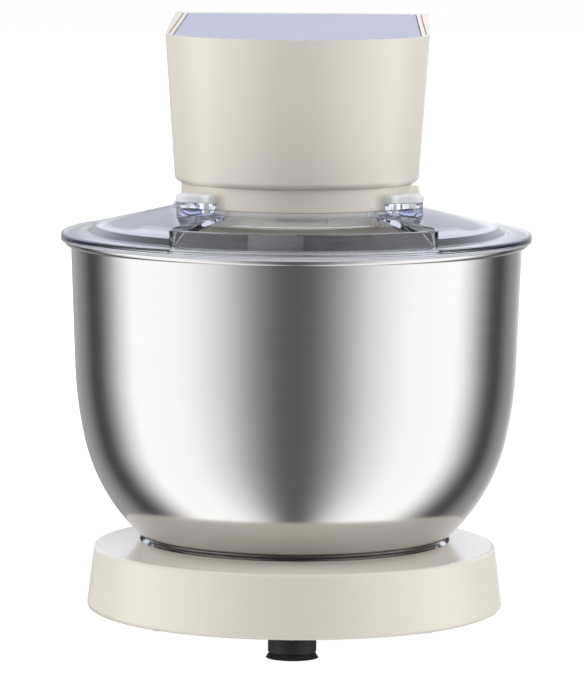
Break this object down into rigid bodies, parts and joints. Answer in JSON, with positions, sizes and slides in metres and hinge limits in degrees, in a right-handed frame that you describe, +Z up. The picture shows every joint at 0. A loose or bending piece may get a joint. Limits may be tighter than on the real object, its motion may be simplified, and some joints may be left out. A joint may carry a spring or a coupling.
{
  "type": "stand mixer",
  "caption": "Tilt-head stand mixer with a round base, a twist-in steel bowl, a clear splash lid with a feed chute, a planetary beater drive and a side speed knob.",
  "frame": {"origin": "middle of the mixer seen from above, on the surface that its feet stand on", "axes": "+Z up, the nose and the bowl face -Y, +Y to the rear along the head, +X to the right as seen from the front"},
  "size_m": [0.2344, 0.3632, 0.2987],
  "materials": {
    "cream_gloss": "gloss moulded cream plastic",
    "panel_gloss": "gloss blue-grey inlaid panel",
    "gold_trim": "thin polished gold line",
    "clear_lid": "clear polished plastic",
    "bowl_steel": "satin to mirror stainless steel",
    "steel": "plain machined steel",
    "cast_aluminium": "fine cast aluminium",
    "black_rubber": "matte black rubber",
    "grey_plastic": "matte grey plastic",
    "knob_plastic": "satin cream plastic",
    "dial_plastic": "matte grey plastic with ticks",
    "gear_plastic": "natural acetal",
    "bronze": "sintered bronze",
    "copper": "enamelled copper",
    "lamination": "laminated iron",
    "board_green": "green circuit board",
    "carbon": "pressed carbon"
  },
  "bodies": {
    "base": {"base_shell": "cream_gloss", "base_plate": "grey_plastic", "base_screws": "steel", "suction_foot_front": "black_rubber", "suction_foot_left": "black_rubber", "suction_foot_right": "black_rubber", "suction_foot_rear_left": "black_rubber", "suction_foot_rear_right": "black_rubber", "bowl_seat_ring": "knob_plastic", "column_shell": "cream_gloss", "back_cover": "cream_gloss", "hinge_bracket": "steel", "hinge_pin": "steel", "dial_plate": "dial_plastic", "speed_switch": "grey_plastic", "control_board": "board_green", "cord_gland": "black_rubber"},
    "speed_control": {"speed_knob": "knob_plastic", "switch_spindle": "steel"},
    "head_lock": {"lock_lever": "knob_plastic", "lock_shaft": "steel", "lock_finger": "steel"},
    "mixing_bowl": {"bowl": "bowl_steel", "bowl_foot": "bowl_steel"},
    "head": {"head_shell": "cream_gloss", "head_bottom_cover": "cream_gloss", "head_screws": "steel", "top_panel": "panel_gloss", "trim_left": "gold_trim", "trim_right": "gold_trim", "tilt_tongue": "steel", "tongue_bushes": "bronze", "striker": "steel", "ring_gear": "steel", "gearbox_plate": "cast_aluminium", "gearbox_cover": "cast_aluminium", "drive_bushes": "bronze", "drive_belt": "black_rubber", "motor_lower_plate": "cast_aluminium", "motor_upper_plate": "cast_aluminium", "stator": "lamination", "field_coils": "copper", "carbon_brushes": "carbon"},
    "motor_rotor": {"motor_shaft": "steel", "armature": "lamination", "commutator": "copper", "cooling_fan": "grey_plastic", "motor_pulley": "cast_aluminium"},
    "countershaft": {"counter_shaft": "steel", "large_pulley": "cast_aluminium", "counter_pinion": "steel"},
    "carrier": {"main_shaft": "steel", "main_gear": "gear_plastic", "planet_carrier": "cream_gloss", "tool_bush": "bronze"},
    "tool": {"tool_shaft": "steel", "planet_gear": "steel", "cross_pin": "steel", "beater": "cast_aluminium"},
    "lid": {"splash_lid": "clear_lid"}
  },
  "joints": [
    {"name": "head_tilt", "type": "hinge", "parent": "base", "child": "head", "pos_m": [0, 0.1576, 0.21], "axis": [-1, 0, 0], "range_deg": [0, 45]},
    {"name": "knob_turn", "type": "hinge", "parent": "base", "child": "speed_control", "pos_m": [0.064, 0.1216, 0.12], "axis": [-1, 0, 0], "range_deg": [-40, 150]},
    {"name": "lock_turn", "type": "hinge", "parent": "base", "child": "head_lock", "pos_m": [0.06, 0.0966, 0.1997], "axis": [1, 0, 0], "range_deg": [0, 65]},
    {"name": "bowl_twist", "type": "hinge", "parent": "base", "child": "mixing_bowl", "pos_m": [0, -0.0644, 0.04], "axis": [0, 0, 1], "range_deg": [0, 60]},
    {"name": "lid_twist", "type": "hinge", "parent": "head", "child": "lid", "pos_m": [0, -0.0644, 0.21], "axis": [0, 0, 1], "range_deg": [0, 30]},
    {"name": "carrier_spin", "type": "hinge", "parent": "head", "child": "carrier", "pos_m": [0, -0.0644, 0.24], "axis": [0, 0, 1], "continuous": true},
    {"name": "tool_spin", "type": "hinge", "parent": "carrier", "child": "tool", "pos_m": [-0.01017, -0.08724, 0.2], "axis": [0, 0, 1], "continuous": true},
    {"name": "counter_spin", "type": "hinge", "parent": "head", "child": "countershaft", "pos_m": [0, -0.0244, 0.25], "axis": [0, 0, 1], "continuous": true},
    {"name": "motor_spin", "type": "hinge", "parent": "head", "child": "motor_rotor", "pos_m": [0, 0.0456, 0.265], "axis": [0, 0, 1], "continuous": true}
  ],
  "couplings": [
    {"joint": "tool_spin", "follows": "carrier_spin", "ratio": -3},
    {"joint": "counter_spin", "follows": "carrier_spin", "ratio": -4},
    {"joint": "motor_spin", "follows": "carrier_spin", "ratio": -20}
  ]
}
